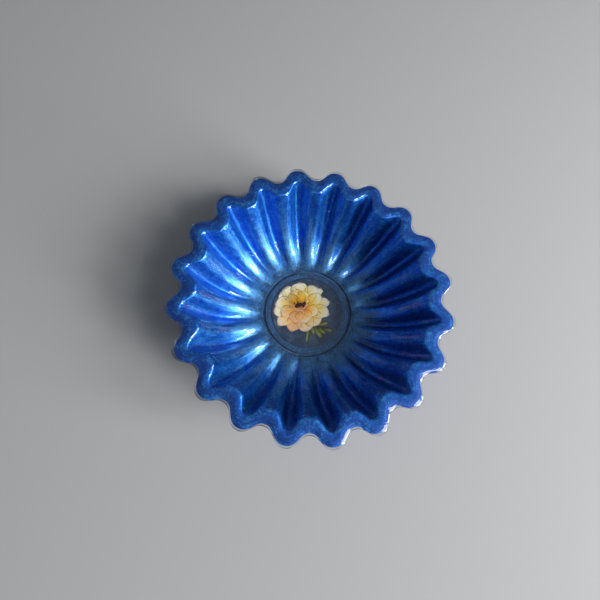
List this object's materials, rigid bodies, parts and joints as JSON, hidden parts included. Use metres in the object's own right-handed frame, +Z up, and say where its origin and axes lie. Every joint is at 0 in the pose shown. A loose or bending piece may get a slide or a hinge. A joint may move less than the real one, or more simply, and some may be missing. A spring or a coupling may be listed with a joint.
{
  "type": "fluted glass bowl",
  "caption": "Round fluted glass bowl with a scalloped rolled lip and ring foot, backed with metallic blue lacquer, with a flower print under the floor.",
  "frame": {"origin": "on the table under the bowl's centre, in the plane of the foot ring's flat underside", "axes": "+Z up out of the bowl's mouth; a scallop's crest lies on +X and another on +Y, and the upper edge of the flower print points to +Y"},
  "size_m": [0.25, 0.25, 0.07],
  "materials": {
    "clear_glass": "gloss",
    "blue_lacquer": "gloss",
    "base_blue_lacquer": "satin",
    "slate_paint": "satin",
    "leaf_paper": "matte",
    "flower_paper": "matte"
  },
  "bodies": {
    "root": {"glass_bowl": "clear_glass", "wall_lacquer": "blue_lacquer", "base_lacquer": "base_blue_lacquer", "slate_ground": "slate_paint", "leaf_print": "leaf_paper", "flower_print": "flower_paper"}
  },
  "joints": []
}
